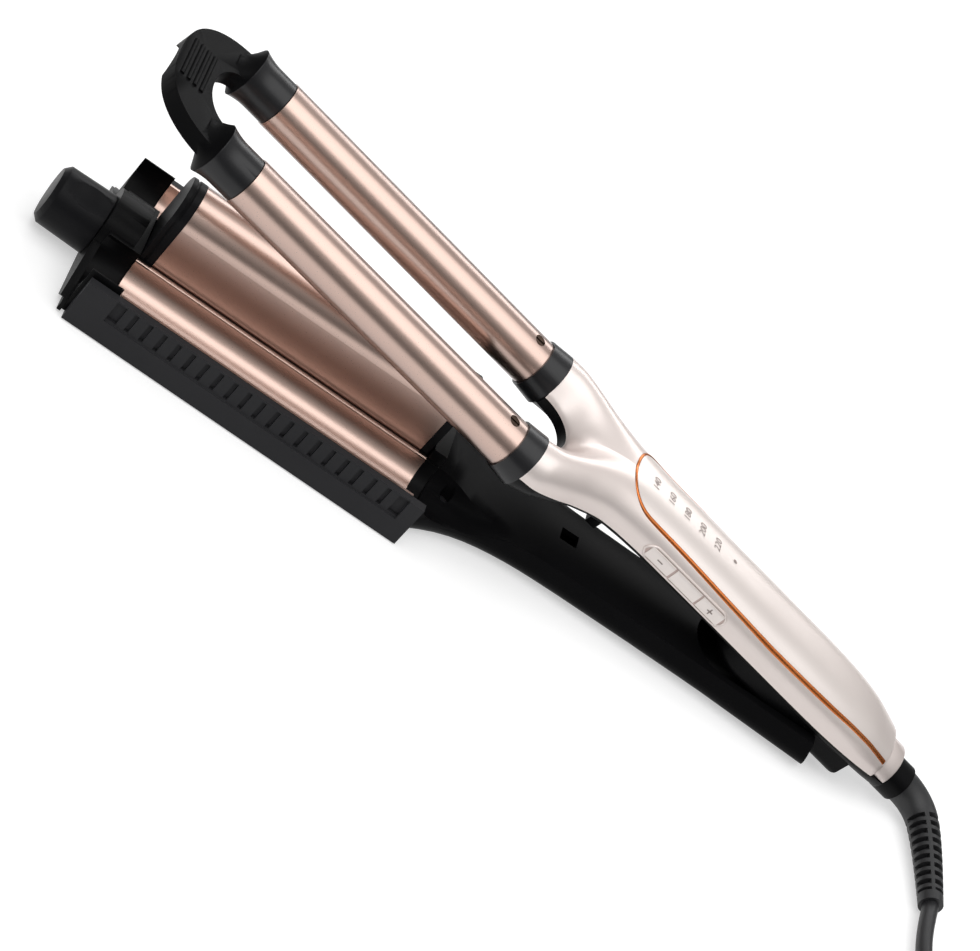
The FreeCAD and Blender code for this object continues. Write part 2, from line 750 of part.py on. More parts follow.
# Lower arm: troughs, carrier, heat plates, guards and yoke
carrier = box(0, carrier_length, -carrier_half, carrier_half, carrier_bottom, carrier_top)
slot_half = centre_half + slide_clear
slot_rear = trough_length + slide_clear
bulkhead = box(slot_rear, carrier_length, -bulkhead_half, bulkhead_half, carrier_floor, bulkhead_top)
carrier = carrier.cut(box(-1, slot_rear, -slot_half, slot_half, carrier_floor, carrier_top + 10))
for side, y in (("near", -barrel_y), ("far", barrel_y)):
    seat_radius = trough_radius + trough_sheet + trough_seat
    carrier = carrier.cut(rod_x(seat_radius, -1, carrier_length + 1, y, axis_z))
    window = heat_plate_half + slide_clear
    carrier = carrier.cut(box(heat_plate_front - slide_clear, heat_plate_rear + slide_clear,
                              y - window, y + window, carrier_floor, axis_z))
    sheet = rod_x(trough_radius + trough_sheet, 0, trough_length, y, axis_z)
    sheet = sheet.cut(rod_x(trough_radius, -1, trough_length + 1, y, axis_z))
    parts["trough_" + side] = sheet.common(box(-1, trough_length + 1, y - 20, y + 20, 0, axis_z))
    plate_top_z = axis_z - seat_radius
    parts["trough_heater_" + side] = box(heat_plate_front, heat_plate_rear,
                                         y - heat_plate_half, y + heat_plate_half,
                                         plate_top_z - heat_plate_thickness, plate_top_z)
carrier = carrier.fuse(bulkhead)
carrier = carrier.cut(rod_x(shaft_radius + running_clear, slot_rear - 1, carrier_length + 1, 0, dial_axis_z))


def guard():
    inner = carrier_half
    shape = box(guard_front, guard_rear, -guard_outer + guard_step, -inner, 0, guard_top)
    shape = shape.fuse(box(guard_front, guard_rear, -guard_outer, -inner, 0, guard_band))
    ends = ((guard_front, guard_front + guard_end_block), (guard_rear - guard_end_block / 2, guard_rear))
    for x0, x1 in ends:
        shape = shape.fuse(box(x0, x1, -guard_outer, -inner, 0, guard_top))
    first = guard_front + guard_end_block
    last = guard_rear - guard_end_block / 2
    slit_front = first + 2 * guard_notch_width
    slit_step = (last - first - 4 * guard_notch_width) / (guard_slits - 1)
    face = -guard_outer + guard_step
    cuts = [(first, guard_notch_width), (last - guard_notch_width, guard_notch_width)]
    for i in range(guard_slits):
        cuts.append((slit_front + i * slit_step - guard_slit_width / 2, guard_slit_width))
    for x, width in cuts:
        shape = shape.cut(box(x, x + width, face - 1, face + guard_slit_depth,
                              guard_band + guard_lip, guard_top - guard_lip))
    return shape.removeSplitter()


parts["guard_near"] = guard()
parts["guard_far"] = mirrored(parts["guard_near"])


def yoke():
    shape = box(-yoke_length, 0, -carrier_half, carrier_half, carrier_bottom, yoke_wall_top)
    hump_half = barrel_y - yoke_saddle
    plate_front = -yoke_length - plate_thickness
    hump = box(plate_front, -hump_rear, -hump_half, hump_half, carrier_bottom, hump_top)
    top_edges = [e for e in hump.Edges if e.CenterOfMass.z > hump_top - 0.1 and abs(e.CenterOfMass.y) > 1]
    shape = shape.fuse(hump.makeFillet(hump_round, top_edges))
    for y in (-barrel_y, barrel_y):
        shape = shape.cut(rod_x(yoke_saddle, -yoke_length - 1, 1, y, axis_z))
    plate = slab_x([(-plate_half, carrier_bottom), (-plate_half, plate_corner), (-plate_top_half, plate_top),
                    (plate_top_half, plate_top), (plate_half, plate_corner), (plate_half, carrier_bottom)],
                   plate_front, -yoke_length)
    for side in (-1, 1):
        corners = [(side * (plate_half + 1), carrier_bottom - 1),
                   (side * (plate_half - 9), carrier_bottom - 1),
                   (side * (plate_half + 1), plate_corner + 4)]
        facet = slab_x(corners, plate_front - 1, plate_front + plate_thickness / 2)
        plate = plate.cut(facet)
    shape = shape.fuse(plate)
    shape = shape.cut(rod_x(shaft_radius + running_clear, plate_front - 1, 1, 0, dial_axis_z))
    return shape.removeSplitter()


parts["tip_yoke"] = yoke()


# Centre barrel: an inverted U sheet with end caps, raised by two cams on the dial's shaft
def arch(half, top, x0, x1, bottom):
    crown = top - half
    return box(x0, x1, -half, half, bottom, crown).fuse(rod_x(half, x0, x1, 0, crown)).removeSplitter()


centre_bore = centre_half - centre_sheet
bore_top = centre_top - centre_sheet
centre_front = centre_front_cap
centre_rear = trough_length - centre_rear_cap
shell = arch(centre_half, centre_top, centre_front, centre_rear, centre_bottom)
bore = arch(centre_bore, bore_top, centre_front - 1, centre_rear + 1, centre_bottom - 1)
parts["centre_barrel"] = shell.cut(bore)
shaft_slot_top = dial_axis_z + shaft_radius + lift_travel + body_clear
shaft_slot_half = shaft_radius + body_clear
for name, x0, x1, seat in (("centre_cap_front", slide_clear, centre_front, 1),
                           ("centre_cap_rear", centre_rear, trough_length, -1)):
    cap = arch(centre_half, centre_top, x0, x1, centre_bottom)
    if seat > 0:
        groove = arch(centre_half + 1, centre_top + 1, x0 + 2.0, x0 + 2.8, centre_bottom - 1)
        core = arch(centre_half - centre_groove, centre_top - centre_groove, x0, x1, centre_bottom - 2)
        cap = cap.cut(groove.cut(core))
        inset = (x1, x1 + cap_inset)
    else:
        inset = (x0 - cap_inset, x0)
    plug_in = arch(centre_bore - press_clear, bore_top - press_clear, inset[0], inset[1], centre_bottom)
    cap = cap.fuse(plug_in)
    slot = box(inset[0] - 20, inset[1] + 20, -shaft_slot_half, shaft_slot_half,
               centre_bottom - 1, shaft_slot_top)
    parts[name] = cap.cut(slot).removeSplitter()

follower_z = dial_axis_z + cam_high + follower_gap
rib_bottom = follower_z + cam_width / 2
bar_bottom = rib_bottom
bar = box(centre_front + cap_inset + 1, centre_rear - cap_inset - 1, -frame_bar_half, frame_bar_half,
          bar_bottom, bar_bottom + frame_bar_height)
for cam_x in cam_stations:
    x0 = cam_x - cam_width / 2
    x1 = cam_x + cam_width / 2
    bar = bar.fuse(box(x0, x1, press_clear - centre_bore, centre_bore - press_clear,
                       rib_bottom, rib_bottom + frame_bar_height))
    bar = bar.fuse(box(x0, x1, -follower_half, follower_half, follower_z, rib_bottom))
parts["centre_frame"] = bar.removeSplitter()
heater_low = bar_bottom + frame_bar_height
parts["centre_heater"] = box(heater_front, heater_rear, -centre_bore / 2, centre_bore / 2,
                             heater_low, heater_low + heater_thickness)


def cam(x):
    points = []
    steps = 18
    for i in range(steps + 1):
        turn = dial_sweep * i / steps
        radius = cam_high - lift_travel * i / steps
        points.append((math.radians(90 + turn), radius))
    flank = [(math.radians(90 + dial_sweep + cam_dwell), cam_low), (math.radians(90 - cam_dwell), cam_high)]
    x0 = x - cam_width / 2
    place = [vec(x0, r * math.cos(a), dial_axis_z + r * math.sin(a)) for a, r in points]
    turned = [vec(x0, r * math.cos(a), dial_axis_z + r * math.sin(a)) for a, r in flank]
    edges = [
        spline(place),
        Part.makeLine(place[-1], turned[0]),
        Part.makeLine(turned[0], turned[1]),
        Part.makeLine(turned[1], place[0]),
    ]
    shape = Part.Face(Part.Wire(edges)).extrude(vec(cam_width, 0, 0))
    return shape.cut(rod_x(shaft_radius + press_clear, x0 - 1, x0 + cam_width + 1, 0, dial_axis_z))


parts["lift_cams"] = Part.Compound([cam(x) for x in cam_stations])
shaft_tip = dial_base - shaft_insert
parts["dial_shaft"] = rod_x(shaft_radius, shaft_tip, carrier_length - body_clear, 0, dial_axis_z)
dial = cone_x(dial_tip_radius, dial_radius, dial_tip, dial_base, 0, dial_axis_z)
dial = dial.makeChamfer(dial_edge, [e for e in dial.Edges if abs(e.CenterOfMass.x - dial_tip) < 0.1])
dish_out = dial_radius + dial_dish_radius - dial_dish_depth
dish_turn = math.radians(dial_dish_angle)
dish_x = (dial_tip + dial_base) / 2 + dial_dish_back
dish = Part.makeSphere(dial_dish_radius, vec(dish_x, dish_out * math.cos(dish_turn),
                                             dial_axis_z + dish_out * math.sin(dish_turn)))
dial = dial.cut(dish)
shaft_bore = rod_x(shaft_radius + press_clear, shaft_tip - press_clear, dial_base + 1, 0, dial_axis_z)
parts["depth_dial"] = dial.cut(shaft_bore)

# Lower arm casing behind the troughs: x, half width, rim height, crown height
arm_stations = (
    (carrier_length, carrier_half - 0.4, 18.6, 18.8),
    (handle_front - 5.0, 30.6, 17.4, 18.3),
    (handle_front + 4.0, 25.6, 14.8, 15.6),
    (handle_front + 17.0, 21.2, 13.6, 14.6),
    (handle_front + 35.0, 18.4, 14.3, 16.0),
    (handle_front + 67.0, 17.3, 14.5, 16.6),
    (handle_front + 112.0, 17.0, 14.6, 16.4),
    (arm_end, 18.8, 15.4, 16.4),
)
arm_round = 10.4
arm_shoulder = 9.5
arm_step = 6.0


def arm_section(station, inset):
    x, half, rim, crown = station
    low = inset
    foot = half - arm_round
    side = half - inset
    mid = foot + (side - foot) * math.sin(math.pi / 4)
    mid_z = arm_shoulder - (arm_shoulder - low) * math.cos(math.pi / 4)
    rim = rim - inset
    crown = crown - inset

    def at(y, z):
        slant = arm_end_slant * z / arm_shoulder / 1.6 if x > arm_end - 1 else 0.0
        return vec(x - slant, y, z)

    edges = [
        Part.makeLine(at(-foot, low), at(foot, low)),
        Part.Arc(at(foot, low), at(mid, mid_z), at(side, arm_shoulder)).toShape(),
        Part.makeLine(at(side, arm_shoulder), at(side, rim)),
        Part.Arc(at(side, rim), at(0, crown), at(-side, rim)).toShape(),
        Part.makeLine(at(-side, rim), at(-side, arm_shoulder)),
        Part.Arc(at(-side, arm_shoulder), at(-mid, mid_z), at(-foot, low)).toShape(),
    ]
    return Part.Wire(edges)


def arm_body(inset, front, rear):
    steps = int((rear - front) / arm_step) + 1
    wires = []
    for i in range(steps + 1):
        x = front + (rear - front) * i / steps
        station = [x] + [eased(x, arm_stations, c) for c in range(1, 4)]
        wires.append(arm_section(station, inset))
    return Part.makeLoft(wires, True, True)


arm = arm_body(0.0, carrier_length, arm_end)
recess = box(recess_front + recess_half, arm_end + 5, -recess_half, recess_half, recess_floor, cut_reach)
recess = recess.fuse(rod_z(recess_half, recess_floor, cut_reach, recess_front + recess_half, 0))
arm = arm.cut(recess)
arm = arm.cut(arm_body(arm_wall, saddle_rear + arm_wall, recess_front - arm_wall))
saddle_radius = ring_rear_radius + 2 * body_clear
for side in (-1, 1):
    circles = []
    for x, y, z, radius in ((carrier_length - 1, barrel_y, axis_z + saddle_lift, saddle_radius),
                            (saddle_bend, barrel_y, axis_z + saddle_lift, saddle_radius),
                            (saddle_rear, barrel_y - 9.0, axis_z + 6.0, saddle_radius - 3.5)):
        circles.append(Part.Wire(Part.makeCircle(radius, vec(x, side * y, z), vec(1, 0, 0))))
    arm = arm.cut(Part.makeLoft(circles, True, True))
below_seam = box(carrier_length - 5, arm_end + 5, -cut_reach, cut_reach, -5, arm_seam)
pin_bore = rod_y(hinge_pin_radius + running_clear, -hinge_pin_half - running_clear,
                 hinge_pin_half + running_clear, hinge_x, hinge_z)
hole_half = peg_hole_length / 2
peg_hole = box(peg_x - hole_half, peg_x + hole_half, -peg_hole_width / 2, peg_hole_width / 2,
               arm_wall + 1, cut_reach)
lower_shell = arm.common(below_seam).cut(pin_bore)
lower_cover = arm.cut(below_seam).cut(pin_bore).cut(peg_hole)
cover_screws = []
screw_seat = arm_seam + arm_wall / 2
for y in (-cover_screw_y, cover_screw_y):
    way = rod_z(cover_screw_radius + press_clear, screw_seat, cut_reach, cover_screw_x, y)
    lower_cover = lower_cover.cut(way)
    shank_way = rod_z(cover_screw_radius / 2 + press_clear, arm_wall, screw_seat + 1, cover_screw_x, y)
    lower_shell = lower_shell.cut(shank_way)
    lower_cover = lower_cover.cut(shank_way)
    head = rod_z(cover_screw_radius, screw_seat, arm_seam + arm_wall, cover_screw_x, y)
    cover_screws.append(head.fuse(rod_z(cover_screw_radius / 2, arm_wall + body_clear,
                                        screw_seat, cover_screw_x, y)))
parts["lower_shell"] = lower_shell
parts["lower_cover"] = lower_cover
parts["cover_screws"] = Part.Compound(cover_screws)
parts["hinge_pin"] = rod_y(hinge_pin_radius, -hinge_pin_half, hinge_pin_half, hinge_x, hinge_z)

# Screws under the carrier
case_screws = []
for x in (6.0, carrier_length - 6.0):
    for y in (-barrel_y, barrel_y):
        head_way = rod_z(case_screw_radius + press_clear, carrier_bottom - 1, carrier_floor, x, y)
        shank_way = rod_z(case_screw_radius / 2 + press_clear, 0, case_screw_length, x, y)
        carrier = carrier.cut(head_way).cut(shank_way)
        head = rod_z(case_screw_radius, carrier_bottom + slide_clear, carrier_floor, x, y)
        shank = rod_z(case_screw_radius / 2, carrier_floor, case_screw_length - slide_clear, x, y)
        case_screws.append(head.fuse(shank))
parts["carrier_screws"] = Part.Compound(case_screws)
parts["jaw_carrier"] = carrier.removeSplitter()


# Torsion spring round the hinge pin, with a leg that bears on the knuckle's floor
def jaw_spring():
    radius = spring_inner + spring_wire / 2
    foot = vec(hinge_x - spring_leg, spring_half, knuckle_bottom + handle_wall + spring_wire / 2)
    across = hinge_x - foot.x
    down = hinge_z - foot.z
    reach = math.hypot(across, down)
    leave = math.pi - math.atan2(-down, across) - math.acos(radius / reach)
    places = []
    steps = 4 * spring_turns
    for i in range(steps + 1):
        turn = leave - 2 * math.pi * (spring_turns - i / 4)
        place = vec(hinge_x + radius * math.cos(turn), spring_half * (2 * i / steps - 1),
                    hinge_z + radius * math.sin(turn))
        way = vec(-2 * math.pi * radius * math.sin(turn), 2 * spring_half / spring_turns,
                  2 * math.pi * radius * math.cos(turn))
        places.append((place, way.normalize()))
    leg_way = vec(-math.sin(leave), 0, math.cos(leave))
    places.append((foot, leg_way))
    return opened(swept(Part.Wire(winding(places)), spring_wire / 2, places[0][0], places[0][1]))


parts["jaw_spring"] = jaw_spring()

# Origin at the middle of the underside of everything but the cord
cord_nodes = ("strain_relief", "cord", "cord_coil", "cord_tie", "plug", "plug_pins")
own = Part.Compound([s for n, s in parts.items() if n not in cord_nodes])
bounds = own.optimalBoundingBox(False, False)
shift = vec(-(bounds.XMin + bounds.XMax) / 2, 0, 0)
os.makedirs("parts", exist_ok=True)
for name, shape in parts.items():
    shape = shape.copy()
    shape.translate(shift)
    shape.exportStep("parts/" + name + ".step")

print("shift", [round(v, 4) for v in shift])
print("size", round(bounds.XLength, 2), round(bounds.YLength, 2), round(bounds.ZLength, 2))
print("hinge", [round(v, 3) for v in vec(hinge_x, 0, hinge_z) + shift])
print("dial axis", [round(v, 3) for v in vec(dial_base, 0, dial_axis_z) + shift])
print("plug pins", [round(v, 3) for v in plug_back + shift])
print("swivel", [round(v, 3) for v in collar_end + shift], [round(v, 5) for v in along])
print("relief radii", [round(r, 1) for r in relief_radii], "cord radii", [round(r, 1) for r in cord_radii])
for name, wire in (("cord", cord_wire), ("cord_coil", coil_wire)):
    ideal = math.pi * cord_radius ** 2 * wire.Length
    print(name, "length", round(wire.Length, 1), "volume ratio", round(parts[name].Volume / ideal, 4))
samples = coil_wire.discretize(Distance=2.0)
least = min((a - b).Length for i, a in enumerate(samples) for b in samples[i + 30:])
print("coil gap", round(least - cord_diameter, 3))
for name, shape in parts.items():
    if not shape.isValid() or shape.Volume <= 0:
        print("fault in", name)
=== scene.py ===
import json
import math

import bmesh
import bpy
from mathutils import Matrix, Vector


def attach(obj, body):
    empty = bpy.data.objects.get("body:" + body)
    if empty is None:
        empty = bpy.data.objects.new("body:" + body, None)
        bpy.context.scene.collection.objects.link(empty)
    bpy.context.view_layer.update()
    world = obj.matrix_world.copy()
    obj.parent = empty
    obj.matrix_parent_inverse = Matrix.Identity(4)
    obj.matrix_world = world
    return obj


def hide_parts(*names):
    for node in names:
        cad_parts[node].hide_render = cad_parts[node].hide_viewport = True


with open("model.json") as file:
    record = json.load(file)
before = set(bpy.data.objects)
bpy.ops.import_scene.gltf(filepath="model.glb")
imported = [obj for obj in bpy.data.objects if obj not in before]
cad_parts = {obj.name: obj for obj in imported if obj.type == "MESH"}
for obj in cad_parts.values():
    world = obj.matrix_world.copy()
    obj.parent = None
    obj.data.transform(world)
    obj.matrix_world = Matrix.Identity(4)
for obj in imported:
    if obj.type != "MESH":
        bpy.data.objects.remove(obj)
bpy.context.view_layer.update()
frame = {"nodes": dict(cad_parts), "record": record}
nodes = frame["nodes"]
behaviour = frame["record"]["behaviour"]
bodyOf = {n: b for b, names in behaviour["bodies"].items() for n in names}
slotOf = {s["node"]: s["material_slot"] for s in frame["record"]["subparts"]}
scene = bpy.context.scene
print("frame loaded", len(nodes), "nodes")

# Places are in the drawing's millimetres: x from the tip of the troughs, the upper arm drawn closed
hinge = {"x": 297.2, "z": 11.0, "open": 12.0}
pinX = next(j["pos_m"][0] for j in behaviour["joints"] if j["name"] == "jaw_hinge")  # the pin in the frame


def at(x, y, z):
    return Vector(((x - hinge["x"]) / 1000 + pinX, y / 1000, z / 1000))


def opened(x, y, z):
    dx, dz = x - hinge["x"], z - hinge["z"]
    turn = math.radians(hinge["open"])
    c, s = math.cos(turn), math.sin(turn)
    return at(hinge["x"] + dx * c + dz * s, y, hinge["z"] - dx * s + dz * c)


def spread(start, end, steps):
    return [start + (end - start) * i / steps for i in range(steps + 1)]


# Camera fitted to the photograph's edges
cameraSpot = {"place": at(-194.2, -1246.0, 911.9), "lens": 161.72, "sensor": 36.0, "reach": 20.0,
              "right": Vector((0.8038, 0.1837, 0.5658)), "up": Vector((-0.5531, 0.5807, 0.5974))}


def makeCamera():
    data = bpy.data.cameras.new("camera")
    data.sensor_fit = "HORIZONTAL"
    data.sensor_width = cameraSpot["sensor"]
    data.lens = cameraSpot["lens"]
    data.clip_end = cameraSpot["reach"]
    camera = bpy.data.objects.new("camera", data)
    scene.collection.objects.link(camera)
    right = cameraSpot["right"].normalized()
    back = right.cross(cameraSpot["up"]).normalized()
    up = back.cross(right)
    turn = Matrix((right, up, back)).transposed().to_4x4()
    camera.matrix_world = Matrix.Translation(cameraSpot["place"]) @ turn
    scene.camera = camera


makeCamera()
scene.view_settings.view_transform = "Standard"
print("camera set")


def linear(code):
    parts = [int(code[i:i + 2], 16) / 255 for i in (1, 3, 5)]
    return [p / 12.92 if p <= 0.04045 else ((p + 0.055) / 1.055) ** 2.4 for p in parts] + [1.0]


def connect(tree, node, inputs):
    for key, value in inputs.items():
        if isinstance(value, bpy.types.NodeSocket):
            tree.links.new(value, node.inputs[key])
        else:
            node.inputs[key].default_value = linear(value) if isinstance(value, str) else value


def addNode(tree, kind, inputs, **settings):
    node = tree.nodes.new("ShaderNode" + kind)
    for key, value in settings.items():
        setattr(node, key, value)
    connect(tree, node, inputs)
    return node


def newMaterial(name):
    mat = bpy.data.materials.new(name)
    mat.use_nodes = True
    tree = mat.node_tree
    place = addNode(tree, "TexCoord", {}).outputs["Object"]
    return mat, tree, tree.nodes["Principled BSDF"], place


def perMetre(sizeMm):
    return 1000 / sizeMm  # a pattern's scale from its real size


noiseSpan = {"From Min": 0.3, "From Max": 0.7}  # where most of a noise's values lie


def roseMetal():
    mat, tree, shader, place = newMaterial("rose gold coated aluminium")  # satin metal, long soft highlights
    drawn = addNode(tree, "Mapping", {"Vector": place, "Scale": (0.3, 1, 1)})  # clouds run along the tubes
    cloud = addNode(tree, "TexNoise", {"Vector": drawn.outputs["Vector"], "Scale": perMetre(30.0)})
    fine = addNode(tree, "TexNoise", {"Vector": place, "Scale": perMetre(0.35), "Detail": 3.0})
    tone = addNode(tree, "Mix", {"Factor": cloud.outputs["Fac"], "A": "#BC9A8A", "B": "#C4A393"},
                   data_type="RGBA")
    facing = addNode(tree, "LayerWeight", {"Blend": 0.5})
    paintedEdgeShade = addNode(tree, "Mix", {"Factor": facing.outputs["Facing"], "A": tone.outputs["Result"],
                                 "B": "#6A4738"}, data_type="RGBA")  # painted shade: the tone darkens to brown towards the edges, where the tubes turn away
    rough = addNode(tree, "MapRange", {**noiseSpan, "Value": fine.outputs["Fac"],
                                       "To Min": 0.27, "To Max": 0.35})
    bump = addNode(tree, "Bump", {"Height": fine.outputs["Fac"], "Distance": 0.006 / 1000, "Strength": 0.4})
    connect(tree, shader, {"Base Color": paintedEdgeShade.outputs["Result"], "Metallic": 1.0,
                           "Roughness": rough.outputs["Result"], "Normal": bump.outputs["Normal"],
                           "Coat Weight": 1.0, "Coat IOR": 2.2, "Coat Roughness": 0.28})
    return mat


def pearlPlastic(name, dark, light, paintedEdgeShade):
    mat, tree, shader, place = newMaterial(name)  # pale sprayed lacquer, glossy, painted darker mauve towards its edges as shade
    flake = addNode(tree, "TexVoronoi", {"Vector": place, "Scale": perMetre(0.2222)})  # coarser than mica
    cloud = addNode(tree, "TexNoise", {"Vector": place, "Scale": perMetre(40.0)})
    tone = addNode(tree, "Mix", {"Factor": cloud.outputs["Fac"], "A": dark, "B": light}, data_type="RGBA")
    # painted shade: the tone darkens to the edge tone where the surface turns away
    facing = addNode(tree, "LayerWeight", {"Blend": 0.35})
    paintedShadeTone = addNode(tree, "Mix", {"Factor": facing.outputs["Facing"], "A": tone.outputs["Result"],
                                    "B": paintedEdgeShade}, data_type="RGBA")
    rough = addNode(tree, "MapRange", {**noiseSpan, "Value": flake.outputs["Distance"],
                                       "To Min": 0.34, "To Max": 0.4})
    connect(tree, shader, {"Base Color": paintedShadeTone.outputs["Result"], "Metallic": 0.45,
                           "Roughness": rough.outputs["Result"], "Coat Weight": 0.4, "Coat Roughness": 0.22})
    return mat


def copperPlate():
    mat, tree, shader, place = newMaterial("copper plating")  # polished: a bright line round the panel
    cloud = addNode(tree, "TexNoise", {"Vector": place, "Scale": perMetre(20.0), "Detail": 1.0})
    fine = addNode(tree, "TexNoise", {"Vector": place, "Scale": perMetre(0.5)})
    tone = addNode(tree, "Mix", {"Factor": cloud.outputs["Fac"], "A": "#B8622C", "B": "#D98A55"},
                   data_type="RGBA")
    rough = addNode(tree, "MapRange", {**noiseSpan, "Value": fine.outputs["Fac"],
                                       "To Min": 0.24, "To Max": 0.32})
    connect(tree, shader, {"Base Color": tone.outputs["Result"], "Metallic": 1.0,
                           "Roughness": rough.outputs["Result"]})
    return mat


def mouldedPlastic(name, tones, rough, grainMm, depthMm, shine=0.3):
    mat, tree, shader, place = newMaterial(name)  # moulded in a spark-eroded tool: fine grain, soft glints
    fine = addNode(tree, "TexNoise", {"Vector": place, "Scale": perMetre(grainMm), "Detail": 3.0})
    cloud = addNode(tree, "TexNoise", {"Vector": place, "Scale": perMetre(25.0)})
    tone = addNode(tree, "Mix", {"Factor": cloud.outputs["Fac"], "A": tones[0], "B": tones[1]},
                   data_type="RGBA")
    dull = addNode(tree, "MapRange", {**noiseSpan, "Value": fine.outputs["Fac"],
                                      "To Min": rough[0], "To Max": rough[1]})
    bump = addNode(tree, "Bump", {"Height": fine.outputs["Fac"], "Distance": depthMm / 1000, "Strength": 0.7})
    connect(tree, shader, {"Base Color": tone.outputs["Result"], "Roughness": dull.outputs["Result"],
                           "Specular IOR Level": shine, "Normal": bump.outputs["Normal"]})
    return mat


def turnedMetal(name, tones, rough):
    mat, tree, shader, place = newMaterial(name)  # turned metal with faint tool lines
    lathe = addNode(tree, "Mapping", {"Vector": place, "Scale": (1, 6, 6)})
    fine = addNode(tree, "TexNoise", {"Vector": lathe.outputs["Vector"], "Scale": perMetre(0.3)})
    tone = addNode(tree, "Mix", {"Factor": fine.outputs["Fac"], "A": tones[0], "B": tones[1]},
                   data_type="RGBA")
    dull = addNode(tree, "MapRange", {**noiseSpan, "Value": fine.outputs["Fac"],
                                      "To Min": rough[0], "To Max": rough[1]})
    connect(tree, shader, {"Base Color": tone.outputs["Result"], "Metallic": 1.0,
                           "Roughness": dull.outputs["Result"]})
    return mat


def cordRubber():
    mat, tree, shader, place = newMaterial("soft cord sheath")  # extruded, dull black with a slight sheen
    fine = addNode(tree, "TexNoise", {"Vector": place, "Scale": perMetre(0.4), "Detail": 3.0})
    cloud = addNode(tree, "TexNoise", {"Vector": place, "Scale": perMetre(15.0)})
    tone = addNode(tree, "Mix", {"Factor": cloud.outputs["Fac"], "A": "#161617", "B": "#232325"},
                   data_type="RGBA")
    rough = addNode(tree, "MapRange", {**noiseSpan, "Value": fine.outputs["Fac"],
                                       "To Min": 0.42, "To Max": 0.55})
    bump = addNode(tree, "Bump", {"Height": fine.outputs["Fac"], "Distance": 0.02 / 1000, "Strength": 0.6})
    connect(tree, shader, {"Base Color": tone.outputs["Result"], "Roughness": rough.outputs["Result"],
                           "Normal": bump.outputs["Normal"]})
    return mat


def printInk():
    mat, tree, shader, place = newMaterial("grey print ink")  # thin warm grey print, slightly uneven
    cloud = addNode(tree, "TexNoise", {"Vector": place, "Scale": perMetre(0.4)})
    tone = addNode(tree, "Mix", {"Factor": cloud.outputs["Fac"], "A": "#857873", "B": "#988B86"},
                   data_type="RGBA")
    connect(tree, shader, {"Base Color": tone.outputs["Result"], "Roughness": 0.5})
    return mat


materials = {
    "rose_ceramic": roseMetal(),
    # the third tone of each pearl lacquer is painted shade at its edges
    "pearl_shell": pearlPlastic("pearl lacquer", "#E6DBD6", "#ECE2DD", "#CFBFB9"),
    "pearl_panel": pearlPlastic("pearl panel lacquer", "#E9E0DB", "#EFE7E2", "#D6C8C2"),
    # the well is pearl lacquer painted darker mauve, as the shade round the buttons
    "mauve_well": pearlPlastic("pearl lacquer in painted shade", "#B9A59F", "#C4B0AA", "#A8948E"),
    "copper_trim": copperPlate(),
    "black_nylon": mouldedPlastic("black glass-filled nylon", ("#060607", "#0C0C0D"), (0.34, 0.46),
                                  grainMm=0.5, depthMm=0.02, shine=0.09),
    "black_tip": mouldedPlastic("black heat-proof plastic", ("#101012", "#18181A"), (0.36, 0.46),
                                grainMm=0.4, depthMm=0.012, shine=0.1),
    "bridge_plastic": mouldedPlastic("matt bridge plastic", ("#09090A", "#0F0F10"), (0.4, 0.5),
                                     grainMm=0.4, depthMm=0.012, shine=0.04),
    "cap_plastic": mouldedPlastic("satin cap plastic", ("#161618", "#1E1E20"), (0.28, 0.36),
                                  grainMm=0.4, depthMm=0.008, shine=0.35),
    # grey base, partly painted sheen on the black guard
    "guard_nylon": mouldedPlastic("grained guard nylon", ("#2A2A2C", "#323234"), (0.42, 0.54),
                                  grainMm=0.5, depthMm=0.02, shine=0.12),
    "arm_nylon": mouldedPlastic("polished arm nylon", ("#0E0E0F", "#141415"), (0.28, 0.34),
                                grainMm=0.5, depthMm=0.004, shine=0.014),
    # dark brown tone, partly painted shade of the countersinks the screws sit in
    "dark_screw_steel": turnedMetal("dark brown screw steel", ("#33251E", "#584538"), (0.25, 0.4)),
    "steel": turnedMetal("zinc plated steel", ("#8E8E90", "#B4B4B6"), (0.25, 0.4)),
    "spring_steel": turnedMetal("oiled spring wire", ("#6A6A6C", "#8A8A8C"), (0.3, 0.45)),
    "heater_block": turnedMetal("cast heater block", ("#A9A6A0", "#C4C1BA"), (0.4, 0.55)),
    "board": mouldedPlastic("circuit board", ("#1F5A2E", "#2A6B3A"), (0.4, 0.5), grainMm=1.2, depthMm=0.02),
    "lamp": mouldedPlastic("amber lamp", ("#D98038", "#E69A5A"), (0.2, 0.3), grainMm=0.8, depthMm=0.01),
    "switch": mouldedPlastic("switch body", ("#2A2A2C", "#38383A"), (0.45, 0.6), grainMm=0.5, depthMm=0.02),
    "cord_rubber": cordRubber(),
    "plated_pin": turnedMetal("nickel plated pin", ("#C6C4BE", "#DAD8D2"), (0.15, 0.25)),
}
finishOf = {"tip_bridge": "bridge_plastic", "barrel_cap_near": "cap_plastic", "barrel_cap_far": "cap_plastic",
            "base_ring_near": "cap_plastic", "base_ring_far": "cap_plastic", "guard_near": "guard_nylon",
            "guard_far": "guard_nylon", "lower_shell": "arm_nylon", "lower_cover": "arm_nylon",
            "barrel_screws": "dark_screw_steel"}  # nodes with a finish of their own
ink = printInk()
print("materials made", len(materials))

mergeGap = 1e-6  # metres, points nearer than this are one


def finish(node):
    return materials[finishOf.get(node, slotOf[node])]


def addPiece(name, mesh, mat, node, *more):
    piece = bpy.data.objects.new(name, mesh)
    scene.collection.objects.link(piece)
    mesh.materials.clear()
    mesh.materials.append(mat)
    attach(piece, bodyOf[node])
    if more:
        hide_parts(*more)
    return piece


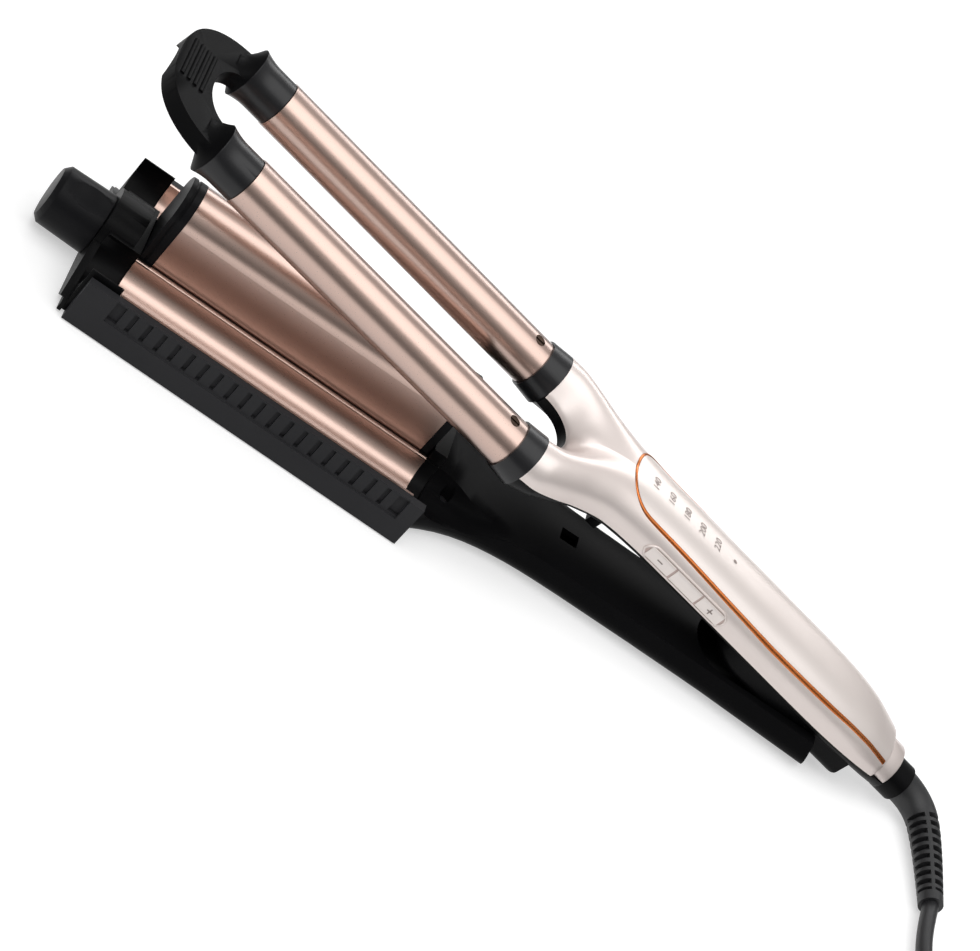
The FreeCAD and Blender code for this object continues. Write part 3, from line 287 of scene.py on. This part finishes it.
def gridMesh(name, rows):
    mesh = bpy.data.meshes.new(name)
    wide = len(rows[0])
    verts = [p for row in rows for p in row]
    faces = [(i * wide + j, i * wide + j + 1, (i + 1) * wide + j + 1, (i + 1) * wide + j)
             for i in range(len(rows) - 1) for j in range(wide - 1)]
    mesh.from_pydata(verts, [], faces)
    mesh.shade_smooth()
    return mesh


def mergeMesh(name, meshes):
    form = bmesh.new()
    for mesh in meshes:
        form.from_mesh(mesh)
    bmesh.ops.remove_doubles(form, verts=form.verts, dist=mergeGap)
    bmesh.ops.recalc_face_normals(form, faces=form.faces)
    whole = bpy.data.meshes.new(name)
    form.to_mesh(whole)
    form.free()
    whole.shade_smooth()
    return whole


def meshOf(curve):
    holder = bpy.data.objects.new(curve.name, curve)
    mesh = bpy.data.meshes.new_from_object(holder)
    bpy.data.objects.remove(holder)
    return mesh


# Moulded edges: rounding in millimetres, angles in degrees
edges = {"round": 0.4, "bold": 1.0, "button": 0.7, "corner": 35.0, "flat": 0.6, "node": 30.0,
         "boldNodes": ("tip_bridge", "tip_yoke"),
         "nodes": ("tip_bridge", "barrel_cap_near", "barrel_cap_far", "base_ring_near", "base_ring_far",
                   "guard_near", "guard_far", "tip_yoke", "depth_dial", "centre_cap_front", "centre_cap_rear",
                   "jaw_carrier", "lower_shell", "lower_cover", "handle_bottom", "swivel_collar", "plug",
                   "cord_tie")}


def softened(node, roundMm, segments=2):
    corner = math.radians(edges["corner"])
    mesh = nodes[node].data.copy()
    form = bmesh.new()
    form.from_mesh(mesh)
    bmesh.ops.remove_doubles(form, verts=form.verts, dist=mergeGap)
    flat = math.radians(edges["flat"])
    bmesh.ops.dissolve_limit(form, angle_limit=flat, verts=form.verts, edges=form.edges)
    form.to_mesh(mesh)
    form.free()
    mesh.shade_smooth()
    mesh.set_sharp_from_angle(angle=corner)
    piece = addPiece(node + "_soft", mesh, finish(node), node, node)
    bevel = piece.modifiers.new("edges", "BEVEL")
    bevel.width = roundMm / 1000
    bevel.segments = segments
    bevel.limit_method = "ANGLE"
    bevel.angle_limit = corner
    bevel.harden_normals = True
    return piece


for name, node in nodes.items():
    node.data.materials.clear()
    node.data.materials.append(finish(name))
    node.data.shade_smooth()
    node.data.set_sharp_from_angle(angle=math.radians(edges["node"]))

soft = {name: softened(name, edges["bold"] if name in edges["boldNodes"] else edges["round"])
        for name in edges["nodes"]}
print("hard pieces softened")

# Folded lip of each trough sheet, over the wall beside the centre barrel
troughLip = {"start": 0.0, "end": 124.5, "steps": 24,
             "profile": ((14.6, 18.2), (13.95, 19.05), (13.6, 19.3), (12.35, 19.3), (12.1, 19.1),
                         (12.1, 18.6))}
for side, name in ((-1, "trough_near"), (1, "trough_far")):
    lipRows = [[at(x, side * y, z) for y, z in troughLip["profile"]]
               for x in spread(troughLip["start"], troughLip["end"], troughLip["steps"])]
    lipMesh = mergeMesh(name + "Lip", [gridMesh("lip", lipRows)])
    addPiece(name + "_lip", lipMesh, materials["rose_ceramic"], name)
print("trough lips made")

# Handle skin from the drawing's stations: x, half width, parting height, rise, share of fork
handle = {
    "stations": (
        (143.0, 36.2, 19.0, 11.2, 1.0), (150.0, 35.2, 19.3, 12.4, 0.85), (158.0, 31.6, 19.8, 13.5, 0.55),
        (168.0, 25.8, 20.5, 14.0, 0.25), (180.0, 20.8, 21.0, 14.2, 0.06), (196.0, 18.6, 21.0, 14.4, 0.0),
        (216.0, 18.2, 21.0, 14.5, 0.0), (258.0, 18.2, 21.0, 14.5, 0.0), (294.0, 18.0, 21.0, 14.3, 0.0),
        (312.0, 16.6, 21.0, 12.9, 0.0), (325.0, 13.6, 20.5, 10.4, 0.0), (334.0, 10.4, 20.0, 8.6, 0.0)),
    "front": 143.0, "arm": 11.2, "crotch": 13.0, "square": 0.8,
    "floor": 0.15, "fall": 1.5,  # how low and how fast each arm falls towards the crotch
    "lipRound": 8.0, "lipLow": 0.15,  # the rolled edge of the crotch
    "step": 326.8, "stepCuts": ((327.3, 0.3), (327.6, 1.0)),  # x and cut of the rounded step at the rear
    "tail": ((327.6, 10.7, 9.3), (333.3, 10.4, 9.1), (333.8, 10.1, 8.8), (334.0, 9.5, 8.3),
             (334.0, 5.2, 5.0)),  # ring at the cord: x, half width, rise
    "crotchSteps": 20, "lengthSteps": 110, "aroundSteps": 44, "crowd": 1.2, "wallSteps": 4, "sharp": 50.0}


def eased(x, column, stations=handle["stations"]):
    i = max(k for k in range(len(stations) - 1) if x >= stations[k][0])
    x0, x1 = stations[i][0], stations[i + 1][0]

    def slope(k):
        low, high = stations[max(k - 1, 0)], stations[min(k + 1, len(stations) - 1)]
        return (high[column] - low[column]) / (high[0] - low[0])

    t = (x - x0) / (x1 - x0)
    start, end = stations[i][column], stations[i + 1][column]
    pull = (x1 - x0) * t * (1 - t) * (slope(i) * (1 - t) - slope(i + 1) * t)
    return start + (end - start) * t * t * (3 - 2 * t) + pull


def skinHeight(x, y, lift=0.0):
    half, parting, rise, fork = (eased(x, c) for c in range(1, 5))
    half, rise, arm = half + lift, rise + lift, handle["arm"] + lift
    square = 2 + handle["square"] * (1 - fork)
    along = max(0.0, 1 - abs(y / half) ** square) ** (1 / square)
    beside = (abs(y) - (half - arm)) / arm
    if beside > 0:
        hump = max(0.0, 1 - beside * beside) ** 0.5
    else:
        fall = 0.5 + 0.5 * math.cos(math.pi * min(1.0, -beside / handle["fall"]))
        hump = handle["floor"] + (1 - handle["floor"]) * fall
    gap = math.hypot(x - handle["front"], y) - handle["crotch"]
    share = min(1.0, max(0.0, gap / handle["lipRound"]))
    lip = handle["lipLow"] + (1 - handle["lipLow"]) * (1 - (1 - share) ** 2) ** 0.5  # rolls into the crotch
    return parting + rise * ((1 - fork) * along + fork * hump) * lip


def handleSkin():
    crotch, bends = handle["crotch"], handle["crotchSteps"]
    xs = [handle["front"] + crotch * math.sin(math.pi / 2 * share) for share in spread(0, 1, bends)]
    xs += spread(xs[-1], handle["step"], handle["lengthSteps"])[1:]
    wide, tall, base = (eased(handle["step"], c) for c in (1, 3, 2))
    ends = [(x, wide - cut, tall - cut) for x, cut in handle["stepCuts"]] + list(handle["tail"])
    shares = [share ** handle["crowd"] for share in spread(0, 1, handle["aroundSteps"])]
    skins, walls = [], []
    for side in (-1, 1):
        rows, wall = [], []
        for i, x in enumerate(xs):
            half = eased(x, 1)
            inner = max(0.0, crotch ** 2 - (x - handle["front"]) ** 2) ** 0.5 if i < bends else 0.0
            first = math.asin(min(1.0, inner / half))
            ys = [side * half * math.sin(first + (math.pi / 2 - first) * share) for share in shares]
            rows.append([opened(x, y, skinHeight(x, y)) for y in ys])
            if i <= bends:
                heights = spread(eased(x, 2), skinHeight(x, inner), handle["wallSteps"])
                wall.append([opened(x, side * inner, z) for z in heights])
        for x, half, rise in ends:
            turns = [math.pi / 2 * share for share in shares]
            rows.append([opened(x, side * half * math.sin(t), base + rise * math.cos(t)) for t in turns])
        skins.append(gridMesh("half", rows))
        walls.append(gridMesh("wall", wall))
    skin = mergeMesh("handleSkin", skins)
    skin.set_sharp_from_angle(angle=math.radians(handle["sharp"]))
    return skin, mergeMesh("crotchWall", walls)


skinMesh, wallMesh = handleSkin()
addPiece("handle_skin", skinMesh, materials["pearl_shell"], "handle_top", "handle_top")
addPiece("crotch_lining", wallMesh, materials["black_nylon"], "handle_bottom")
print("handle skin made")

# Panel in plan: a blunt nose, sides (x, half width) that swell and draw in again
panel = {"front": 179.0, "nose": 14.5, "blunt": 2.6, "lift": 0.12,
         "noseSteps": 24, "sideSteps": 70, "across": 14,
         "sides": ((193.5, 14.8), (207.0, 14.8), (224.5, 15.2), (239.5, 15.6), (263.0, 16.0), (292.0, 15.6),
                   (309.5, 14.2), (318.0, 12.9), (325.9, 11.4))}
panelStart, noseHalf = panel["sides"][0]
panelRear = panel["sides"][-1][0]


def nosePoint(turn):
    power = 2 / panel["blunt"]
    back = panel["nose"] * (1 - abs(math.sin(turn)) ** power)
    return panel["front"] + back, noseHalf * abs(math.cos(turn)) ** power


def panelHalf(x):
    if x >= panelStart:
        return eased(x, 1, panel["sides"])
    share = min(1.0, (panelStart - x) / panel["nose"])
    return noseHalf * (1 - share ** panel["blunt"]) ** (1 / panel["blunt"])


def panelSheet():
    xs = [nosePoint(turn)[0] for turn in spread(math.pi / 2, 0, panel["noseSteps"])]
    xs += spread(xs[-1], panelRear, panel["sideSteps"])[1:]
    rows = []
    for x in xs:
        ys = spread(-panelHalf(x), panelHalf(x), 2 * panel["across"])
        rows.append([opened(x, y, skinHeight(x, y, panel["lift"])) for y in ys])
    return mergeMesh("panelSheet", [gridMesh("sheet", rows)])


addPiece("panel_sheet", panelSheet(), materials["pearl_panel"], "display_panel", "display_panel")

# Copper line round the panel: section as shares of its half width and heights over the skin
trim = {"width": 1.15, "noseSteps": 60,
        "section": ((-1, -0.1), (-0.9, 0.2), (-0.4, 0.34), (0.4, 0.34), (0.9, 0.2), (1, -0.1))}


def panelOutline():
    side = [(x, -panelHalf(x)) for x in spread(panelRear, panelStart, panel["sideSteps"])]
    nose = []
    for turn in spread(0, math.pi, trim["noseSteps"])[1:-1]:
        x, y = nosePoint(turn)
        nose.append((x, -y if turn < math.pi / 2 else y))
    return side + nose + [(x, -y) for x, y in reversed(side)]


def panelTrim():
    outline = panelOutline()
    rows = []
    for i, (x, y) in enumerate(outline):
        x0, y0 = outline[max(i - 1, 0)]
        x1, y1 = outline[min(i + 1, len(outline) - 1)]
        length = math.hypot(x1 - x0, y1 - y0)
        nx, ny = (y0 - y1) / length, (x1 - x0) / length
        row = []
        for across, up in trim["section"]:
            reach = across * trim["width"] / 2
            px, py = x - nx * reach, y - ny * reach
            row.append(opened(px, py, skinHeight(px, py, up)))
        rows.append(row)
    return mergeMesh("panelTrim", [gridMesh("trim", rows)])


addPiece("panel_line", panelTrim(), materials["copper_trim"], "panel_trim", "panel_trim")

# Print on the panel: plain numbers across it, a lamp dot behind them
printing = {"numbers": ("140", "160", "180", "200", "220"), "first": 189.0, "pitch": 8.2, "height": 3.0,
            "digitShare": 0.7, "lift": 0.22, "dot": 231.0, "dotRadii": (0.01, 0.9), "dotSteps": 24}


def printedPoint(x, y):
    return opened(x, y, skinHeight(x, y, printing["lift"]))


def printedNumbers():
    meshes = []
    for i, number in enumerate(printing["numbers"]):
        data = bpy.data.curves.new("number", "FONT")
        data.body = number
        data.size = printing["height"] / printing["digitShare"]
        data.align_x = "CENTER"
        data.align_y = "CENTER"
        mesh = meshOf(data)
        x = printing["first"] + i * printing["pitch"]
        for v in mesh.vertices:
            v.co = printedPoint(x - v.co.y, v.co.x)
        meshes.append(mesh)
    turns = spread(0, 2 * math.pi, printing["dotSteps"])
    rows = [[printedPoint(printing["dot"] + r * math.cos(t), r * math.sin(t)) for t in turns]
            for r in printing["dotRadii"]]
    meshes.append(gridMesh("dot", rows))
    return mergeMesh("numbers", meshes)


addPiece("panel_print", printedNumbers(), ink, "display_panel")
print("panel made")

# Buttons in a well of pearl painted darker mauve as shade, with a bead round it
well = {"front": 198.8, "rear": 240.6, "middle": 24.7, "half": 3.2, "taper": 4.0, "blunt": 0.7, "lift": 0.1,
        "steps": 60, "across": 6, "bead": 0.45, "beadSides": 4}
marks = {"minus": 206.7, "plus": 233.6, "long": 2.6, "thick": 0.5, "lift": 0.56, "steps": 4}


def sidePoint(x, z, lift):
    half, rise, parting = eased(x, 1) + lift, eased(x, 3) + lift, eased(x, 2)
    square = 2 + handle["square"]
    return opened(x, -half * max(0.0, 1 - abs((z - parting) / rise) ** square) ** (1 / square), z)


def wellHalf(x):
    fromFront, fromRear = x - well["front"], well["rear"] - x
    if fromRear < well["half"]:
        return (well["half"] ** 2 - (well["half"] - fromRear) ** 2) ** 0.5
    return well["half"] * math.sin(math.pi / 2 * min(1.0, fromFront / well["taper"])) ** well["blunt"]


def wellStations():
    length = well["rear"] - well["front"]
    turns = spread(0, math.pi, well["steps"])  # stations crowd towards the rounded ends
    return [well["front"] + length * (0.5 - 0.5 * math.cos(turn)) for turn in turns]


def wellSheet():
    rows = []
    for x in wellStations():
        zs = [well["middle"] + wellHalf(x) * share for share in spread(-1, 1, 2 * well["across"])]
        rows.append([sidePoint(x, z, well["lift"]) for z in zs])
    return mergeMesh("wellSheet", [gridMesh("well", rows)])


def beadMesh():
    xs = wellStations()
    spots = [(x, well["middle"] + wellHalf(x)) for x in xs]
    spots += [(x, well["middle"] - wellHalf(x)) for x in xs[-2:0:-1]]
    data = bpy.data.curves.new("bead", "CURVE")
    data.dimensions = "3D"
    line = data.splines.new("POLY")
    line.points.add(len(spots) - 1)
    for spot, (x, z) in zip(line.points, spots):
        spot.co = (*sidePoint(x, z, well["lift"]), 1.0)
    line.use_cyclic_u = True
    data.bevel_depth = well["bead"] / 1000
    data.bevel_resolution = well["beadSides"]
    mesh = meshOf(data)
    mesh.shade_smooth()
    return mesh


def sideMark(x, long, tall):
    xs = spread(x - long / 2, x + long / 2, marks["steps"])
    zs = (well["middle"] - tall / 2, well["middle"] + tall / 2)
    return gridMesh("mark", [[sidePoint(px, z, marks["lift"]) for z in zs] for px in xs])


addPiece("button_well", wellSheet(), materials["mauve_well"], "handle_top")
addPiece("button_bead", beadMesh(), materials["pearl_shell"], "handle_top")
for name in ("minus_button", "power_button", "plus_button"):
    softened(name, edges["button"], segments=3)
addPiece("minus_mark", sideMark(marks["minus"], marks["long"], marks["thick"]), ink, "minus_button")
plusBars = [sideMark(marks["plus"], marks["long"], marks["thick"]),
            sideMark(marks["plus"], marks["thick"], marks["long"])]
addPiece("plus_mark", mergeMesh("plus", plusBars), ink, "plus_button")
print("buttons made")

# Cord: the drawing's route and coil as one smooth line
cordSpec = {"diameter": 6.2, "length": 1.74, "sides": 6, "smooth": 6,
            "points": ((367.6, -46.0, 5.4), (366.6, -64.0, 4.9), (371.0, -82.0, 4.6), (384.5, -97.0, 4.5),
                       (403.0, -105.5, 4.5), (425.5, -107.5, 4.5)),
            "toPlug": ((500.0, -38.0, 9.0), (503.5, -28.0, 6.8), (503.5, -14.0, 6.8))}
coil = {"centre": (448.0, -60.0), "outer": 47.5, "pitch": 6.9, "turns": 3.375, "climb": 0.5, "z": 4.5,
        "start": -90.0, "pointsPerTurn": 16}


def coilPoint(turns):
    inner = coil["outer"] - coil["pitch"] * coil["turns"]
    climbEnd = coil["turns"] + coil["climb"]
    z = coil["z"]
    if turns <= coil["turns"]:
        radius = coil["outer"] - coil["pitch"] * turns
    elif turns <= climbEnd:
        share = (turns - coil["turns"]) / coil["climb"]
        radius = inner - coil["pitch"] * share * (1 - share) / 2
        z += coil["pitch"] * (share - math.sin(2 * math.pi * share) / (2 * math.pi))
    else:
        radius = inner + coil["pitch"] * (turns - climbEnd)
        z += coil["pitch"]
    angle = math.radians(coil["start"]) + 2 * math.pi * turns
    return at(coil["centre"][0] + radius * math.cos(angle), coil["centre"][1] + radius * math.sin(angle), z)


def smoothLine(name, points, resolution):
    data = bpy.data.curves.new(name, "CURVE")
    data.dimensions = "3D"
    line = data.splines.new("NURBS")
    line.points.add(len(points) - 1)
    for spot, point in zip(line.points, points):
        spot.co = (*point, 1.0)
    line.order_u = 3
    line.use_endpoint_u = True
    data.resolution_u = resolution
    return data


def makeCord():
    total = 2 * coil["turns"] + coil["climb"]
    points = [at(*p) for p in cordSpec["points"]]
    points += [coilPoint(turns) for turns in spread(0, total, int(total * coil["pointsPerTurn"]))]
    points += [at(*p) for p in cordSpec["toPlug"]]
    data = smoothLine("cordLine", points, cordSpec["smooth"])
    data.bevel_depth = cordSpec["diameter"] / 2000
    data.bevel_resolution = cordSpec["sides"]
    cord = bpy.data.objects.new("cord_line", data)
    scene.collection.objects.link(cord)
    data.materials.append(materials["cord_rubber"])
    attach(cord, "cord_swivel")
    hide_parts("cord", "cord_coil")
    return cord


# Strain relief: a plain elbow, then a tapered body with slots between four ribs, then an end ring
relief = {"points": ((343.66, 0.0, 9.303), (354.42, 0.0, 7.016), (362.0, -20.0, 6.4), (367.6, -46.0, 5.4)),
          "radii": (6.8, 4.7), "slotted": (0.3, 0.93), "slotStart": 21.0, "slotPitch": 3.8, "slotLevel": -0.1,
          "slotDepth": 2.2, "slotTurn": 22.0, "ribLevel": 0.35, "steps": 260, "around": 48, "smooth": 40,
          "sharp": 50.0}


def makeRelief():
    line = smoothLine("reliefLine", [at(*p) for p in relief["points"]], relief["smooth"])
    path = [v.co.copy() for v in meshOf(line).vertices]
    lengths = [0.0]
    for p, q in zip(path, path[1:]):
        lengths.append(lengths[-1] + (q - p).length)
    total = lengths[-1]
    rows = []
    for s in spread(0, total, relief["steps"]):
        i = max(k for k in range(len(lengths) - 1) if s >= lengths[k] - 1e-12)
        place = path[i].lerp(path[i + 1], (s - lengths[i]) / (lengths[i + 1] - lengths[i]))
        way = (path[i + 1] - path[i]).normalized()
        side = way.cross(Vector((0, 0, 1))).normalized()
        up = side.cross(way)
        share = s / total
        wave = math.sin(2 * math.pi * (s * 1000 - relief["slotStart"]) / relief["slotPitch"])
        slot = wave > relief["slotLevel"] and relief["slotted"][0] < share < relief["slotted"][1]
        row = []
        for turn in spread(0, 2 * math.pi, relief["around"]):
            face = abs(math.cos(2 * (turn - math.radians(relief["slotTurn"]))))
            depth = relief["slotDepth"] if slot and face > relief["ribLevel"] else 0.0
            r = (relief["radii"][0] + (relief["radii"][1] - relief["radii"][0]) * share - depth) / 1000
            row.append(place + side * r * math.cos(turn) + up * r * math.sin(turn))
        rows.append(row)
    ends = [gridMesh("end", [row, [middle] * len(row)])
            for row, middle in ((rows[0], path[0]), (rows[-1], path[-1]))]
    mesh = mergeMesh("reliefBody", [gridMesh("body", rows)] + ends)
    mesh.set_sharp_from_angle(angle=math.radians(relief["sharp"]))
    return mesh


cordPiece = makeCord()
reliefPiece = addPiece("relief_body", makeRelief(), materials["cord_rubber"], "strain_relief",
                       "strain_relief")
print("cord made")

# Studio in metres: a pale floor with a painted pool of light that fades to grey far off, a room that
# brightens towards its ceiling, two soft lamps
studio = {"reach": 6.0, "below": 0.0006, "spot": (0.03, 0.13, 0.0), "fade": (0.48, 1.0), "paper": "#CFCFCF",
          "farPaperPaintedShade": "#9C9C9E", "glow": 0.5, "paperGrain": 3.0, "skyHeights": (0.05, 0.75),
          "sky": (0.1, 0.55), "aim": (0.0, 0.0, 0.04)}
lamps = ({"name": "softbox", "place": (0.0, -0.3, 1.1), "size": (1.7, 1.2), "power": 11.0},
         {"name": "rim", "place": (0.15, 1.3, 0.7), "size": (1.4, 0.5), "power": 7.0})


def floorPaper():
    mat, tree, shader, place = newMaterial("pale studio floor")  # matt white paper, painted brighter near the object
    offset = addNode(tree, "VectorMath", {0: place, 1: studio["spot"]}, operation="SUBTRACT")
    away = addNode(tree, "VectorMath", {0: offset.outputs["Vector"]}, operation="LENGTH")
    # painted falloff of light: nothing near the object, full far off
    dim = addNode(tree, "MapRange", {"Value": away.outputs["Value"], "From Min": studio["fade"][0],
                                     "From Max": studio["fade"][1], "To Min": 0.0, "To Max": 1.0},
                  interpolation_type="SMOOTHSTEP").outputs["Result"]
    tone = addNode(tree, "Mix", {"Factor": dim, "A": studio["paper"], "B": studio["farPaperPaintedShade"]},
                   data_type="RGBA")
    light = addNode(tree, "Mix", {"Factor": dim, "A": "#FFFFFF", "B": "#000000"}, data_type="RGBA")
    rays = addNode(tree, "LightPath", {}).outputs
    seen = addNode(tree, "Math", {0: rays["Is Camera Ray"], 1: rays["Is Glossy Ray"]}, operation="MAXIMUM")
    seen = addNode(tree, "Math", {0: seen.outputs[0], 1: rays["Is Transmission Ray"]}, operation="MAXIMUM")
    glow = addNode(tree, "Math", {0: seen.outputs[0], 1: studio["glow"]}, operation="MULTIPLY")
    fine = addNode(tree, "TexNoise", {"Vector": place, "Scale": perMetre(studio["paperGrain"])})
    rough = addNode(tree, "MapRange", {**noiseSpan, "Value": fine.outputs["Fac"],
                                       "To Min": 0.85, "To Max": 0.95})
    connect(tree, shader, {"Base Color": tone.outputs["Result"], "Roughness": rough.outputs["Result"],
                           "Emission Color": light.outputs["Result"],
                           "Emission Strength": glow.outputs[0]})  # painted glow for camera, glossy and transmission rays near the object, which lifts the shadow and fades out far off
    return mat


def makeFloor():
    reach = studio["reach"]
    mesh = bpy.data.meshes.new("floor")
    corners = ((-reach, -reach), (reach, -reach), (reach, reach), (-reach, reach))
    mesh.from_pydata([(x, y, -studio["below"]) for x, y in corners], [], [(0, 1, 2, 3)])
    floor = bpy.data.objects.new("floor", mesh)
    scene.collection.objects.link(floor)
    mesh.materials.append(floorPaper())


def makeRoom():
    world = bpy.data.worlds.new("studio")
    scene.world = world
    world.use_nodes = True
    tree = world.node_tree
    way = addNode(tree, "SeparateXYZ", {"Vector": addNode(tree, "TexCoord", {}).outputs["Generated"]})
    height = addNode(tree, "MapRange", {"Value": way.outputs["Z"], "From Min": studio["skyHeights"][0],
                                        "From Max": studio["skyHeights"][1], "To Min": studio["sky"][0],
                                        "To Max": studio["sky"][1]}, interpolation_type="SMOOTHSTEP")
    connect(tree, tree.nodes["Background"], {"Color": "#FFFFFF", "Strength": height.outputs["Result"]})


def makeLamp(lamp):
    data = bpy.data.lights.new(lamp["name"], "AREA")
    data.shape = "RECTANGLE"
    data.size, data.size_y = lamp["size"]
    data.energy = lamp["power"]
    light = bpy.data.objects.new(lamp["name"], data)
    scene.collection.objects.link(light)
    light.location = lamp["place"]
    way = Vector(studio["aim"]) - Vector(lamp["place"])
    light.rotation_euler = way.to_track_quat("-Z", "Y").to_euler()


makeFloor()
makeRoom()
for lamp in lamps:
    makeLamp(lamp)
print("stage made")
